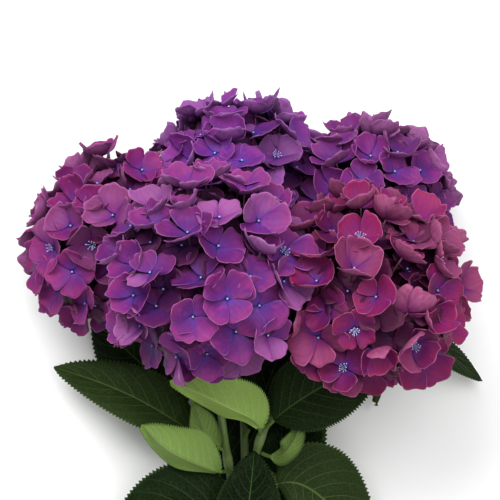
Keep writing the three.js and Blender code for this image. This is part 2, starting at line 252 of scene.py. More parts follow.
# What the florets of every head share.
FADED = 0.8  # florets whose chance value is above this are pale
DARK = 0.2  # and those below this are dark
SEPAL_SPECULAR = 0.14
# painted shade: the colour that the sepals of florets set deep in a head are darkened towards
PAINTED_DEEP_SHADE = (0.02, 0.002, 0.014)
BEAD_DARK = (0.04, 0.05, 0.3)
BEAD_LIGHT = (0.25, 0.36, 0.62)
STAMEN_COLOUR = (0.42, 0.52, 0.78)
STALK_COLOUR = (0.1, 0.035, 0.06)

# ---------------- stem surfaces, in mm
STEM_STEPS = 170
CURVE_STEPS = 60  # between two of a stem's points, before it is cut into even steps
STEM_SIDES = 20
STEM_RIBS = 6
RIB_HEIGHT = 0.025  # as a share of the radius
SCAR_DEPTH = 0.35
SCAR_HALF_LENGTH = 0.0035  # as a share of the stem's length
RAY_SIDES = 10
CUT_RADII = (0.2, 0.5, 0.55, 0.82)  # the rings of the cut face, as shares of the stem's radius
CUT_DEPTHS = (0.45, 0.35, 0.05, 0.0)  # and how far each is sunk
BAND_TURN_WIDTH = BAND_WIDTH / 2 - 0.3
BAND_SWAY = 0.35
BAND_STEPS = 14  # round each stem
BAND_SECTION = (  # a rubber strip's outline, across and through it, as shares of its size
    (-0.5, -0.35), (-0.35, -0.5), (0.35, -0.5), (0.5, -0.35),
    (0.5, 0.35), (0.35, 0.5), (-0.35, 0.5), (-0.5, 0.35),
)

# ---------------- leaf surfaces, in mm
LEAF_COLUMNS = 29
LEAF_SIDE = np.sign(np.linspace(-1, 1, LEAF_COLUMNS))  # -1 or 1 for each column, 0 at the midrib
LEAF_FAR = np.abs(np.linspace(-1, 1, LEAF_COLUMNS)) ** 0.9  # and how far it is from the midrib
TEETH = 44
TOOTH_DEPTH = 2.5
TOOTH_STEPS = (0.0, 0.3, 0.6, 0.82, 0.92)  # where a tooth has rows, as shares of its length
TOOTH_PEAK = 0.82
TOOTH_BAND = 0.86  # how far across a half the teeth begin
VEIN_PAIRS = 9
VEIN_SLANT = 2.3  # how far the side veins run on towards the tip
VEIN_BEND = 0.7
QUILT_HEIGHT = 0.8  # of the blade between two side veins
RIPPLE_HEIGHT = 2.6  # of the blade's edge
RIPPLES = 8.0  # in radians along the blade
WAVE_HEIGHT = 1.4  # of the whole blade
EDGE_DROOP = 3.0
PRESSED_FOLD = 5  # a leaf that's folded less than this, in degrees, is pressed flat
PRESSED_RELIEF = 0.4  # and keeps this much of its relief
MIDRIB_HEIGHT = 0.7
MIDRIB_WIDTH = 0.05  # as a share of the half width
BLADE_HALF_THICKNESS = 0.26

# ---------------- leaf, stem and band colours
BLADE_DARK = (0.0016, 0.005, 0.0008)
BLADE_FRESH = (0.0045, 0.0125, 0.0027)
BLADE_PALE = (0.09, 0.15, 0.035)
UNDERSIDE_DARK = (0.06, 0.11, 0.03)
UNDERSIDE_BRIGHT = (0.26, 0.4, 0.09)
VEIN_COLOURS = ((0.06, 0.12, 0.03), (0.26, 0.36, 0.11))  # on the darkest leaf and the lightest
UNDER_VEIN_COLOURS = ((0.2, 0.3, 0.1), (0.5, 0.62, 0.24))
PETIOLE_COLOUR = (0.11, 0.19, 0.04)
STEM_DARK = (0.045, 0.09, 0.015)
STEM_LIGHT = (0.11, 0.18, 0.035)
STEM_BROWN = (0.2, 0.13, 0.07)
STEM_PORE = (0.16, 0.07, 0.04)
STEM_NODE = (0.18, 0.25, 0.08)
PITH = (0.55, 0.6, 0.35)
RUBBER_TAN = (0.4, 0.2, 0.075)
RUBBER_LIGHT = (0.5, 0.28, 0.12)
RUBBER_LINE = (0.3, 0.14, 0.05)
LEAF_SPECULAR = 0.06

# ---------------- small helpers
def unit(v):
    return v / np.linalg.norm(v)


def vec(*v):
    return np.array(v, dtype=float)


def bunch_shift():
    """Where the bunch's own origin is in the row frame, in metres, from where the band is."""
    turns = [math.radians(s["ring"]) for s in STEMS.values()]
    middle_x = BUNDLE_RADIUS * (max(map(math.cos, turns)) + min(map(math.cos, turns))) / 2
    low, high = (Vector(v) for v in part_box("rubber_band"))
    middle = (low + high) / 2
    return Vector((middle.x - middle_x * MM, middle.y - BAND_Y * MM, 0))


SHIFT = bunch_shift()


class Shell:
    """Closed skins gathered into one mesh, with a place and two attributes for every point."""

    def __init__(self):
        self.points = []
        self.faces = []
        self.coords = []  # across, along, random
        self.marks = []  # underside, kind, nearness to the edge
        self.uvs = []
        self.count = 0

    def add(self, points, faces, coords, marks=(0, 0, 0), uvs=None):
        """Adds one skin. Coords and marks are three parts each, as per_point() takes them."""
        self.faces.extend([tuple(i + self.count for i in face) for face in faces])
        self.points.append(points)
        self.coords.append(per_point(len(points), coords))
        self.marks.append(per_point(len(points), marks))
        if uvs is not None:
            self.uvs.append(uvs)
        self.count += len(points)

    def build(self, name, material):
        points = np.concatenate(self.points) * MM
        points[:, 2] = np.maximum(points[:, 2], LOWEST)
        points += np.array(SHIFT)
        mesh = bpy.data.meshes.new(name)
        mesh.from_pydata(points.tolist(), [], self.faces)
        mesh.polygons.foreach_set("use_smooth", [True] * len(mesh.polygons))
        for label, values in (("leafing", self.coords), ("marks", self.marks)):
            layer = mesh.attributes.new(label, "FLOAT_VECTOR", "POINT")
            layer.data.foreach_set("vector", np.concatenate(values).ravel())
        if self.uvs:
            corners = np.empty(len(mesh.loops), dtype=np.int32)
            mesh.loops.foreach_get("vertex_index", corners)
            uv = mesh.uv_layers.new(name="OFBake")
            uv.data.foreach_set("uv", np.concatenate(self.uvs)[corners].ravel())
        mesh.materials.append(material)
        mesh.validate()
        piece = placed(name, mesh)
        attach(piece, "root")
        return piece


def per_point(count, parts):
    """One row for each of count points: every part is a number, or holds one for each point."""
    return np.stack([np.broadcast_to(np.asarray(p, float), count) for p in parts], axis=1)


def tube_points(path, radii, sides):
    """The points of a round tube along a path, ring by ring."""
    path = np.asarray(path, dtype=float)
    tangents = np.gradient(path, axis=0)
    tangents /= np.linalg.norm(tangents, axis=1)[:, None]
    side = unit(np.cross(tangents[0], vec(0.31, 0.17, 0.93)))
    angles = ring_angles(sides)
    rings = []
    for point, tangent, radius in zip(path, tangents, radii):
        side = unit(side - tangent * np.dot(side, tangent))
        across = np.outer(np.cos(angles) * radius, side)
        rings.append(point + across + np.outer(np.sin(angles) * radius, np.cross(tangent, side)))
    return np.concatenate(rings)


def ring_angles(sides):
    return np.arange(sides) * 2 * math.pi / sides


def side_faces(rings, sides, looped=False):
    """The faces from each ring of points to the next one, and from the last one if looped."""
    faces = []
    for r in range(rings if looped else rings - 1):
        here, there = r * sides, (r + 1) % rings * sides
        for s in range(sides):
            t = (s + 1) % sides
            faces.append((here + s, here + t, there + t, there + s))
    return faces


def ring_faces(rings, sides):
    """The faces of a tube that is closed at both ends."""
    last = (rings - 1) * sides
    ends = [tuple(reversed(range(sides))), tuple(range(last, last + sides))]
    return side_faces(rings, sides) + ends


def flipped(faces):
    return [tuple(reversed(face)) for face in faces]


def bezier(points, t):
    n = len(points) - 1
    return sum(
        math.comb(n, i) * (1 - t) ** (n - i) * t**i * p
        for i, p in enumerate(np.asarray(points, dtype=float))
    )


def bezier_slope(points, t):
    return bezier((len(points) - 1) * np.diff(points, axis=0), t)


def placed(name, data):
    """A new object in the scene."""
    thing = bpy.data.objects.new(name, data)
    bpy.context.scene.collection.objects.link(thing)
    return thing


# ---------------- materials
class Kit:
    """A Principled material, with short names for the few kinds of node that feed it."""

    def __init__(self, name):
        self.material = bpy.data.materials.new(name)
        self.material.use_nodes = True
        self.tree = self.material.node_tree

    def feed(self, node, inputs):
        """Gives each input a number, a colour or a link."""
        for key, value in inputs.items():
            if isinstance(value, (int, float)):
                node.inputs[key].default_value = value
            elif isinstance(value, tuple):
                node.inputs[key].default_value = (*value, 1.0)
            else:
                self.tree.links.new(value, node.inputs[key])

    def node(self, kind, output, inputs, **settings):
        """Adds a node and gives one of its outputs."""
        node = self.tree.nodes.new(f"ShaderNode{kind}")
        for label, setting in settings.items():
            setattr(node, label, setting)
        self.feed(node, inputs)
        return node.outputs[output]

    def attribute(self, name):
        """The three values of one of the mesh's attributes."""
        split = self.tree.nodes.new("ShaderNodeSeparateXYZ")
        self.feed(split, {0: self.node("Attribute", "Vector", {}, attribute_name=name)})
        return split.outputs

    def place(self):
        return self.node("TexCoord", "Object", {})

    def math(self, operation, *values):
        return self.node("Math", 0, dict(enumerate(values)), operation=operation)

    def times(self, a, b, plus=0.0):
        """The product of a and b, with plus added."""
        return self.math("MULTIPLY_ADD", a, b, plus)

    def span(self, value, low, high, to_low=0.0, to_high=1.0):
        """Goes smoothly from to_low to to_high while value goes from low to high."""
        ends = {"From Min": low, "From Max": high, "To Min": to_low, "To Max": to_high}
        return self.node("MapRange", 0, {"Value": value, **ends}, interpolation_type="SMOOTHSTEP")

    def mix(self, share, a, b):
        return self.node("Mix", 2, {0: share, 6: a, 7: b}, data_type="RGBA")

    def tint(self, colour, other, value, *limits):
        """Brings in another colour while value goes between the limits, as in span()."""
        return self.mix(self.span(value, *limits), colour, other)

    def combine(self, *parts):
        return self.node("CombineXYZ", 0, dict(enumerate(parts)))

    def noise(self, vector, scale, detail=2.0):
        return self.node("TexNoise", "Fac", {"Vector": vector, "Scale": scale, "Detail": detail})

    def cells(self, scale, feature):
        inputs = {"Vector": self.place(), "Scale": scale}
        return self.node("TexVoronoi", "Distance", inputs, feature=feature)

    def finish(self, colour, roughness, relief, specular=0.5):
        """Feeds the shader. Relief is a bump's height, strength and distance, or nothing."""
        inputs = {"Base Color": colour, "Roughness": roughness, "Specular IOR Level": specular}
        if relief:
            bump = dict(zip(("Height", "Strength", "Distance"), relief))
            inputs["Normal"] = self.node("Bump", 0, bump)
        self.feed(self.tree.nodes["Principled BSDF"], inputs)
        return self.material


def scaled(colour, factor):
    return tuple(min(1.0, factor * c) for c in colour)


def between(colours, share):
    return tuple(a + (b - a) * share for a, b in zip(*colours))


def sepal_veins(kit, across, along, chance):
    """Veins, from 0 to 1, that fan out from the base of a sepal and waver towards its edge."""
    fan = kit.times(across, kit.times(along, 5.0, 6.0))
    waver = kit.noise(kit.combine(kit.times(across, 3.0), along, chance), 2.5)
    fan = kit.times(waver, 2.2, fan)
    return kit.span(kit.math("ABSOLUTE", kit.math("SINE", fan)), 0.0, 0.3, 1.0, 0.0)


def upper_sepal_colour(kit, look, reach, chance, freckle, vein):
    """The upper side: a dark eye, its own deeper blue with painted shade where the sepals meet, a
    blue heart, a warm edge, freckles and fine veins.
    """
    heart, middle, edge = look["heart"], look["middle"], look["edge"]
    warm = scaled(edge, 1.35)
    colour = kit.mix(kit.span(reach, 0.16, 0.62), heart, middle)
    colour = kit.tint(colour, edge, reach, 0.6, 1.2)
    # the dark eye at the sepal's root: partly its own deeper blue, partly painted shade where the
    # sepals meet in the floret's middle
    colour = kit.tint(colour, scaled(heart, 0.35), reach, 0.02, 0.26, 0.75, 0.0)
    tint = kit.noise(kit.combine(chance, chance, chance), 9.0, 0.0)
    colour = kit.tint(colour, warm, tint, 0.45, 0.75, 0.0, 0.5)
    colour = kit.tint(colour, warm, freckle, 0.5, 0.72, 0.0, 0.4)
    colour = kit.tint(colour, heart, freckle, 0.5, 0.28, 0.0, 0.35)
    faded = kit.times(kit.span(chance, FADED, FADED + 0.06, 0.0, 0.5), kit.span(reach, 0.3, 0.9))
    colour = kit.mix(faded, colour, look["under"])
    colour = kit.tint(colour, scaled(middle, 0.5), chance, DARK, DARK - 0.06, 0.0, 0.35)
    return kit.mix(kit.times(vein, 0.28), colour, scaled(middle, 0.45))


def lower_sepal_colour(kit, look, along, freckle, vein):
    """The underside: pale and faintly veined, darker towards the base."""
    colour = kit.mix(kit.span(freckle, 0.4, 0.7, 0.0, 0.55), look["under"], look["edge"])
    colour = kit.mix(kit.times(vein, 0.3), colour, look["rim"])
    return kit.tint(colour, look["middle"], along, 0.0, 0.75, 0.85, 0.0)


def of_kind(kit, kind, number):
    """From 0 to 1: whether a point's kind is at least this number."""
    return kit.span(kind, number - 0.6, number - 0.4)


def small_part_colour(kit, colour, kind, along):
    """A sepal's kind runs from -1, deep in a head, to 0; below 0 it takes painted shade. A bead is
    1, a stamen 2, a stalk 3.
    """
    # painted shade: sepals of hidden florets, and of outer florets that sit deeper, are darkened
    # the further their kind is below 0
    colour = kit.tint(colour, PAINTED_DEEP_SHADE, kind, -0.8, -0.2, 0.7, 0.0)
    bead = kit.mix(kit.span(along, 0.2, 0.9), BEAD_DARK, BEAD_LIGHT)
    for number, own_colour in enumerate((bead, STAMEN_COLOUR, STALK_COLOUR), start=1):
        colour = kit.mix(of_kind(kit, kind, number), colour, own_colour)
    return colour


def sepal_material(name, look):
    """Sepals: colour runs from a blue heart to a warm edge, with a pale rim and fine veins."""
    kit = Kit(name)
    across, along, chance = kit.attribute("leafing")
    under, kind, edge_near = kit.attribute("marks")
    vein = sepal_veins(kit, across, along, chance)
    blotch = kit.noise(kit.combine(across, along, kit.times(chance, 40.0)), 1.6, 3.0)
    reach = kit.times(blotch, 0.35, kit.times(chance, 0.16, along))
    freckle = kit.noise(kit.place(), 170.0, 4.0)
    upper = upper_sepal_colour(kit, look, reach, chance, freckle, vein)
    upper = kit.mix(kit.span(edge_near, 0.93, 0.99, 0.0, 0.5), upper, look["rim"])
    lower = lower_sepal_colour(kit, look, along, freckle, vein)
    colour = small_part_colour(kit, kit.mix(under, upper, lower), kind, along)
    height = kit.times(vein, -0.7, kit.times(kit.noise(kit.place(), 900.0), 0.35))
    return kit.finish(
        colour, kit.span(blotch, 0.2, 0.8, 0.5, 0.66), (height, 0.35, 0.0003), SEPAL_SPECULAR
    )


def leaf_veins(kit, across, along):
    """A leaf's veins, from 0 to 1: a midrib, slanting side veins and a net between them."""
    far = kit.math("ABSOLUTE", across)
    slant = kit.times(along, VEIN_PAIRS, kit.times(far, -VEIN_SLANT))
    bend = kit.times(kit.times(far, far), -VEIN_BEND, 20.0)
    phase = kit.math("FRACT", kit.math("ADD", slant, bend))
    from_vein = kit.math("ABSOLUTE", kit.math("SUBTRACT", phase, 0.5))
    side_vein = kit.span(from_vein, 0.0, 0.04, 1.0, 0.0)
    side_vein = kit.times(side_vein, kit.span(far, 0.0, 1.0, 1.0, 0.25))
    midrib = kit.span(far, 0.0, 0.035, 1.0, 0.0)
    net = kit.span(kit.cells(260.0, "DISTANCE_TO_EDGE"), 0.0, 0.09, 0.19, 0.0)
    return kit.math("MAXIMUM", kit.math("MAXIMUM", side_vein, midrib), net)


def leaf_material(name, light):
    """Leaves: dark and softly glossy above, paler below, with raised pale veins."""
    kit = Kit(name)
    across, along, _ = kit.attribute("leafing")
    under, kind, edge_near = kit.attribute("marks")
    veins = leaf_veins(kit, across, along)
    patch = kit.noise(kit.place(), 26.0, 4.0)
    blotch = kit.span(patch, 0.3, 0.7)
    vein_colour = between(VEIN_COLOURS, light)
    above = kit.mix(blotch, BLADE_DARK, BLADE_FRESH)
    above = kit.mix(light * 0.7, above, BLADE_PALE)
    above = kit.mix(kit.times(veins, 0.65), above, vein_colour)
    below = kit.mix(blotch, UNDERSIDE_DARK, BLADE_PALE)
    below = kit.mix(light * 0.9, below, UNDERSIDE_BRIGHT)
    below = kit.mix(kit.times(veins, 0.7), below, between(UNDER_VEIN_COLOURS, light))
    colour = kit.mix(under, above, below)
    colour = kit.tint(colour, vein_colour, edge_near, 0.93, 1.0, 0.0, 0.4)
    colour = kit.mix(of_kind(kit, kind, 1), colour, PETIOLE_COLOUR)
    height = kit.times(veins, -0.8, kit.times(patch, 0.4))
    return kit.finish(
        colour, kit.span(patch, 0.25, 0.75, 0.5, 0.62), (height, 0.45, 0.0006), LEAF_SPECULAR
    )


def stem_material():
    """Stems: green with lengthwise streaks and small brown pores, and pith at the cut end."""
    kit = Kit("stem_green")
    around, along, _ = kit.attribute("leafing")
    _, kind, swelling = kit.attribute("marks")
    streak = kit.noise(kit.combine(kit.times(around, 6.0), kit.times(along, 9.0)), 3.0, 3.0)
    mottle = kit.noise(kit.place(), 60.0, 3.0)
    pores = kit.span(kit.cells(170.0, "F1"), 0.1, 0.2, 0.8, 0.0)
    colour = kit.mix(kit.span(streak, 0.3, 0.7), STEM_DARK, STEM_LIGHT)
    colour = kit.tint(colour, STEM_BROWN, mottle, 0.55, 0.8, 0.0, 0.45)
    colour = kit.mix(pores, colour, STEM_PORE)
    colour = kit.tint(colour, STEM_NODE, swelling, 0.2, 0.8, 0.0, 0.5)
    colour = kit.mix(of_kind(kit, kind, 1), colour, PITH)
    height = kit.times(pores, 0.8, streak)
    return kit.finish(colour, kit.span(mottle, 0.3, 0.7, 0.4, 0.6), (height, 0.4, 0.0004))


def band_material():
    """Natural rubber: tan, matt, with a faint speckle and stretch lines along the band."""
    kit = Kit("rubber_tan")
    around, along, _ = kit.attribute("leafing")
    speckle = kit.noise(kit.place(), 1400.0, 3.0)
    lines = kit.noise(kit.combine(kit.times(around, 14.0), along), 3.0)
    colour = kit.mix(kit.span(speckle, 0.35, 0.7), RUBBER_TAN, RUBBER_LIGHT)
    colour = kit.tint(colour, RUBBER_LINE, lines, 0.55, 0.75, 0.0, 0.4)
    height = kit.math("ADD", speckle, lines)
    return kit.finish(colour, kit.span(speckle, 0.3, 0.7, 0.55, 0.75), (height, 0.3, 0.0003))


def floor_material():
    kit = Kit("pale_floor")
    return kit.finish(kit.mix(kit.noise(kit.place(), 3.0), FLOOR_DARK, FLOOR_LIGHT), 0.9, None)


# ---------------- sepals and florets
class SepalGrid:
    """A closed thin shell over a grid of rows along a sepal and columns across it."""

    def __init__(self, rows, columns):
        self.shape = (rows, columns)
        self.rise = np.repeat(np.linspace(-1, 1, rows), columns)
        self.along = (self.rise + 1) / 2
        self.across = np.tile(np.linspace(-1, 1, columns), rows)
        self.edge = np.maximum(np.abs(self.across), self.rise)
        size = rows * columns
        index = np.arange(size).reshape(rows, columns)
        corners = (index[:-1, :-1], index[1:, :-1], index[1:, 1:], index[:-1, 1:])
        self.faces = []
        for a, b, c, d in np.stack(corners, axis=-1).reshape(-1, 4).tolist():
            self.faces.append((a, b, c, d))
            self.faces.append((a + size, d + size, c + size, b + size))
        rim = [*index[0], *index[1:, -1], *index[-1, -2::-1], *index[-2:0:-1, 0]]
        rim = [int(i) for i in rim]
        for a, b in zip(rim, rim[1:] + rim[:1]):
            self.faces.append((a, b, b + size, a + size))


FINE_GRID = SepalGrid(11, 11)
COARSE_GRID = SepalGrid(6, 6)


def sepal_traits(floret, index):
    """The chance differences between one sepal and the next. Every second one lies on top."""
    chance = floret.chance
    return dict(
        base_width=chance.uniform(0.2, 0.42),
        point=chance.uniform(0.0, 0.14),
        width=chance.uniform(0.53, 0.68),
        length=SEPAL_LENGTH * floret.size * chance.uniform(0.9, 1.1),
        rise=math.radians(floret.rise + chance.gauss(0, 6) + (4 if index % 2 else -3)),
        curl=math.radians(floret.curl + chance.gauss(0, 9)),
        cup=chance.gauss(0.22, 0.2) + 0.006 * floret.curl,
        phase=chance.uniform(0, 2 * math.pi),
        roll=math.tan(math.radians(chance.gauss(7, 6))),
        turn=index * math.pi / 2 + chance.gauss(0, 0.09),
    )


def sepal_outline(grid, traits):
    """Where each grid point lies on the flat sepal, across and along it, for a length of 1."""
    disc_x = grid.across * np.sqrt(1 - grid.rise**2 / 2)
    disc_y = grid.rise * np.sqrt(1 - grid.across**2 / 2)
    share = (disc_y + 1) / 2
    base = traits["base_width"]
    narrowing = base + (1 - base) * np.minimum(1, share / 0.62) ** 0.6
    tip = traits["point"] * np.exp(-((disc_x / 0.22) ** 2)) * share**4
    around = np.arctan2(disc_x, disc_y)
    uneven = np.sin(5 * around + traits["phase"]) + 0.6 * np.sin(8 * around - traits["phase"])
    uneven *= EDGE_UNEVENNESS * np.maximum(np.abs(grid.across), grid.along) * share
    flat_x = disc_x * traits["width"] * narrowing * (1 + uneven)
    return flat_x, share + tip + 0.5 * uneven


class Floret:
    """One floret: where it sits, the way it faces, and how its sepals are shaped."""

    def __init__(self, place, facing, depth, rank, cupping, look, chance):
        self.place = place
        self.facing = facing
        self.depth = depth
        self.rank = rank
        self.chance = chance
        self.spin = chance.uniform(0, math.pi / 2)
        self.size = chance.uniform(0.82, 1.16) * (0.9 if depth else 1.0)
        self.is_open = chance.random() < look["open_share"] and not depth
        self.rise = look["rise"] * (0.5 + cupping)
        self.curl = min(look["curl"] * (0.25 + 1.9 * cupping), STEEPEST - self.rise)
        self.seed = chance.random()
        # a kind below 0 gives the sepals painted shade: full for hidden florets, less for outer
        # florets that sit deeper
        self.kind = -1.0 if depth else -0.55 * (1 - rank) ** 2  # how dark its sepals are

    def axes(self):
        side = unit(np.cross(self.facing, vec(0.21, 0.93, 0.3)))
        other = np.cross(self.facing, side)
        c, s = math.cos(self.spin), math.sin(self.spin)
        return side * c + other * s, other * c - side * s


def bent_sepal(floret, grid, index, neighbours):
    """The upper skin of one sepal, in mm, in the bunch's frame."""
    traits = sepal_traits(floret, index)
    flat_x, flat_y = sepal_outline(grid, traits)
    length, rise, curl = traits["length"], traits["rise"], traits["curl"]
    if abs(curl) < LEAST_CURL:
        curl = LEAST_CURL
    # The sepal turns up evenly from its base to its tip, so along it lies on an arc.
    angle = rise + curl * flat_y
    out = (np.sin(angle) - math.sin(rise)) / curl
    lift = (math.cos(rise) - np.cos(angle)) / curl
    lift += traits["cup"] * flat_x**2 + traits["roll"] * flat_x
    lift += sepal_waves(grid, traits["phase"])
    side, other = floret.axes()
    forward = side * math.cos(traits["turn"]) + other * math.sin(traits["turn"])
    across = np.cross(floret.facing, forward)
    local = np.stack([SEPAL_START + out * length, flat_x * length, lift * length], axis=1)
    if index % 2:
        local += TOP_PAIR_SHIFT
    points = floret.place + local @ np.stack([forward, across, floret.facing])
    return pushed_aside(floret, points, neighbours)


def sepal_waves(grid, phase):
    """Low waves near the edge of a sepal, and the crease along its middle."""
    wave = 0.04 * np.sin(grid.across * 4.2 + grid.along * 5.0 + phase)
    wave += 0.025 * np.sin(grid.across * 9.0 - grid.along * 4.0 + 2 * phase)
    wave *= grid.along * (0.3 + np.abs(grid.across) ** 2)
    return wave - 0.035 * np.exp(-((grid.across / 0.14) ** 2)) * grid.along


def pushed_aside(floret, points, neighbours):
    """Where a sepal meets a neighbouring floret, it lies over it or slips under it."""
    for other in neighbours:
        apart = other.place - floret.place
        gap = np.linalg.norm(apart)
        way = apart / gap
        past = np.maximum(0, (points - floret.place) @ way - gap * 0.5)
        above = floret.rank > other.rank
        stiff = min(1.0, floret.curl / 60)  # a cupped floret is pushed up, an open one slides
        lift_share = 0.1 + 0.4 * stiff if above else -0.45 + 0.55 * stiff
        points = points - np.outer(past, way) * 0.5 * stiff
        points = points + np.outer(past, floret.facing) * lift_share
    return points


def sepal_normals(points, grid):
    along, across = np.gradient(points.reshape(*grid.shape, 3), axis=(0, 1))
    normals = np.cross(along, across).reshape(-1, 3)
    return normals / (np.linalg.norm(normals, axis=1)[:, None] + 1e-9)


class Atlas:
    """Square cells of the baking map, handed out one after another."""

    def __init__(self, cells):
        self.side = math.ceil(math.sqrt(cells))
        self.next = 0

    def cell(self, u, v):
        row, column = divmod(self.next, self.side)
        self.next += 1
        inner = 1 - 2 * CELL_MARGIN
        across = column + CELL_MARGIN + u * inner
        return np.stack([across, row + CELL_MARGIN + v * inner], axis=1) / self.side


def add_sepal(shell, atlas, floret, index, neighbours):
    grid = COARSE_GRID if floret.depth else FINE_GRID
    upper = bent_sepal(floret, grid, index, neighbours)
    normals = sepal_normals(upper, grid)
    if np.dot(normals.mean(axis=0), floret.facing) < 0:
        normals = -normals
    lower = upper - normals * SEPAL_THICKNESS
    across, along, edge = np.tile([grid.across, grid.along, grid.edge], 2)
    u = (grid.across + 1) / 2
    shell.add(
        np.concatenate([upper, lower]),
        grid.faces,
        (across, along, (floret.seed + 0.02 * index) % 1.0),
        (np.repeat([0, 1], len(upper)), floret.kind, edge),
        np.concatenate([atlas.cell(u, grid.along), atlas.cell(u, grid.along)]),
    )


def add_tube(shell, atlas, path, radii, sides, kind):
    rings = len(path)
    along = np.repeat(np.linspace(0, 1, rings), sides)
    uvs = atlas.cell(np.tile(np.linspace(0, 1, sides), rings), along)
    points = tube_points(path, radii, sides)
    shell.add(points, ring_faces(rings, sides), (0, along, 0), (0, kind, 0), uvs)


def add_bead(shell, atlas, floret):
    """The closed bud in the middle: four lobes with a dimple between them."""
    side, other = floret.axes()
    rings, sides = BEAD_RINGS, BEAD_SIDES
    polar = np.repeat(math.pi * (np.arange(rings) + 0.35) / (rings - 0.3), sides)
    turn = np.tile(ring_angles(sides), rings)
    out = BEAD_RADIUS * np.sin(polar) * (1 + BEAD_LOBES * np.cos(4 * turn) * np.sin(polar))
    height = BEAD_RADIUS * 0.95 * np.cos(polar) + BEAD_LIFT
    points = floret.place + np.outer(height, floret.facing)
    points += np.outer(np.cos(turn) * out, side) + np.outer(np.sin(turn) * out, other)
    along = 0.5 + 0.5 * np.cos(polar)
    around = np.tile(np.linspace(0, 1, sides), rings)
    faces = flipped(ring_faces(rings, sides))
    shell.add(points, faces, (0, along, floret.seed), (0, 1, 0), atlas.cell(around, along))


def add_stamens(shell, atlas, floret):
    """Eight to ten thin filaments, each with a small anther at its tip."""
    side, other = floret.axes()
    count = floret.chance.choice((8, 9, 10))
    for i in range(count):
        turn = 2 * math.pi * i / count + floret.chance.gauss(0, 0.15)
        out = side * math.cos(turn) + other * math.sin(turn)
        reach = floret.chance.uniform(2.2, 4.2)
        height = floret.chance.uniform(4.2, 6.5)
        start = floret.place + out * 0.8 + floret.facing * 1.2
        knee = start + out * reach * 0.3 + floret.facing * height * 0.7
        tip = start + out * reach + floret.facing * height
        path = [bezier((start, knee, tip), t) for t in STAMEN_SHARES]
        add_tube(shell, atlas, path, STAMEN_RADII, 5, 2.0)


def add_stalk(shell, atlas, floret, hub):
    """The thin stalk from a branch of the head to the floret."""
    behind = floret.place - floret.facing * STALK_BEND
    midway = hub * 0.35 + behind * 0.65
    steps = np.linspace(0, 1, 7)
    path = [bezier((hub, midway, behind, floret.place), t) for t in steps]
    add_tube(shell, atlas, path, np.linspace(*STALK_RADII, len(path)), 6, 3.0)


# ---------------- flower heads
def head_frame(name):
    head = HEADS[name]
    return np.array(head["centre"], dtype=float), unit(np.array(head["axis"], dtype=float))


def in_bunch(point):
    return (np.array(point) - np.array(SHIFT)) / MM


def in_row(point):
    return Vector(point) * MM + SHIFT


def tree_of(name):
    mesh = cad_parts[name].data
    return BVHTree.FromPolygons(
        [v.co.copy() for v in mesh.vertices], [tuple(p.vertices) for p in mesh.polygons]
    )


TREES = {name: tree_of(f"head_{name}") for name in HEADS}


def surface_point(name, direction):
    """Where a ray from the head's centre leaves the head's solid, and the surface's normal."""
    centre, _ = head_frame(name)
    inside = in_row(centre)
    hit, normal, _, _ = TREES[name].ray_cast(inside, Vector(direction), 1.0)
    return in_bunch(hit), np.array(normal)


def buried(name, place, normal):
    """True well inside the flat where this head is pressed against another one."""
    side = unit(np.cross(normal, vec(0.3, 0.2, 0.9)))
    other = np.cross(normal, side)
    for turn in np.arange(8) * math.pi / 4:
        probe = place + BURIED_REACH * (side * math.cos(turn) + other * math.sin(turn))
        if not touches_another(name, probe):
            return False
    return touches_another(name, place)


def touches_another(name, place):
    return any(
        tree.find_nearest(in_row(place), CONTACT_NEAR * MM)[0] is not None
        for other, tree in TREES.items()
        if other != name
    )


def spread_points(name, spacing, chance, shrink=0.0):
    """Evenly spread but irregular places over a head: each is kept if it has room."""
    places = []
    for i in range(TRIES):
        height = 1 - 2 * (i + 0.5) / TRIES
        ring = math.sqrt(1 - height * height)
        turn = GOLDEN_TURN * i
        places.append(vec(ring * math.cos(turn), ring * math.sin(turn), height))
    chance.shuffle(places)
    kept = []
    for direction in places:
        point, normal = surface_point(name, direction)
        point = point - direction * shrink
        room = min((np.linalg.norm(point - k[0]) for k in kept), default=spacing)
        if room >= spacing * chance.uniform(*ROOM):
            kept.append((point, normal, direction))
    return kept


def head_florets(name, chance):
    """The florets of one head: an outer layer, and hidden ones in the gaps below it."""
    look = LOOKS[name]
    _, axis = head_frame(name)
    florets = []
    for shrink, spacing in LAYERS:
        for point, normal, direction in spread_points(name, spacing, chance, shrink):
            in_flat = buried(name, point + direction * shrink, normal)
            if in_flat and not shrink:
                continue
            if shrink and np.dot(direction, axis) < -0.75:
                continue
            smooth = unit(0.55 * direction + 0.45 * normal)
            lean = math.radians(look["lean"])
            towards_crown = axis * CROWN_PULL * (1.1 - np.dot(smooth, axis))
            sway = np.array([chance.gauss(0, lean) for _ in range(3)])
            turn = towards_crown + vec(0, UPTURN, 0) + sway
            facing = unit(smooth + turn * (DEEP_TURN if shrink else 1.0))
            rank = 1.0 if in_flat else chance.random()
            place = point - smooth * (SHALLOWEST + DEPTH_SPREAD * (1 - rank))
            cupping = min(1.1, max(0.0, chance.random() ** 1.6 + 0.3 * smooth[1]))
            if shrink:  # there's no room to open upwards under the outer florets
                cupping = DEEP_CUPPING
            florets.append(Floret(place, facing, shrink, rank, cupping, look, chance))
    return florets


def nearby(floret, florets):
    return [
        f for f in florets
        if f is not floret and f.depth == floret.depth
        and np.linalg.norm(f.place - floret.place) < 1.5 * FLORET_SPACING
    ]


def clusters_of(florets, centre, axis):
    """Florets grouped with their nearest ones, so each group is one compact piece."""
    left = list(florets)
    groups = []
    while left:
        first = max(left, key=lambda f: np.dot(f.place - centre, axis))
        left.sort(key=lambda f: -np.linalg.norm(f.place - first.place))
        groups.append([left.pop() for _ in range(min(CLUSTER_SIZE, len(left)))])
    return groups


def cells_needed(florets):
    """Room for two cells for each sepal, and one for the stalk, the bead and every stamen."""
    return sum(8 + 1 + 1 + (10 if f.is_open else 0) for f in florets)


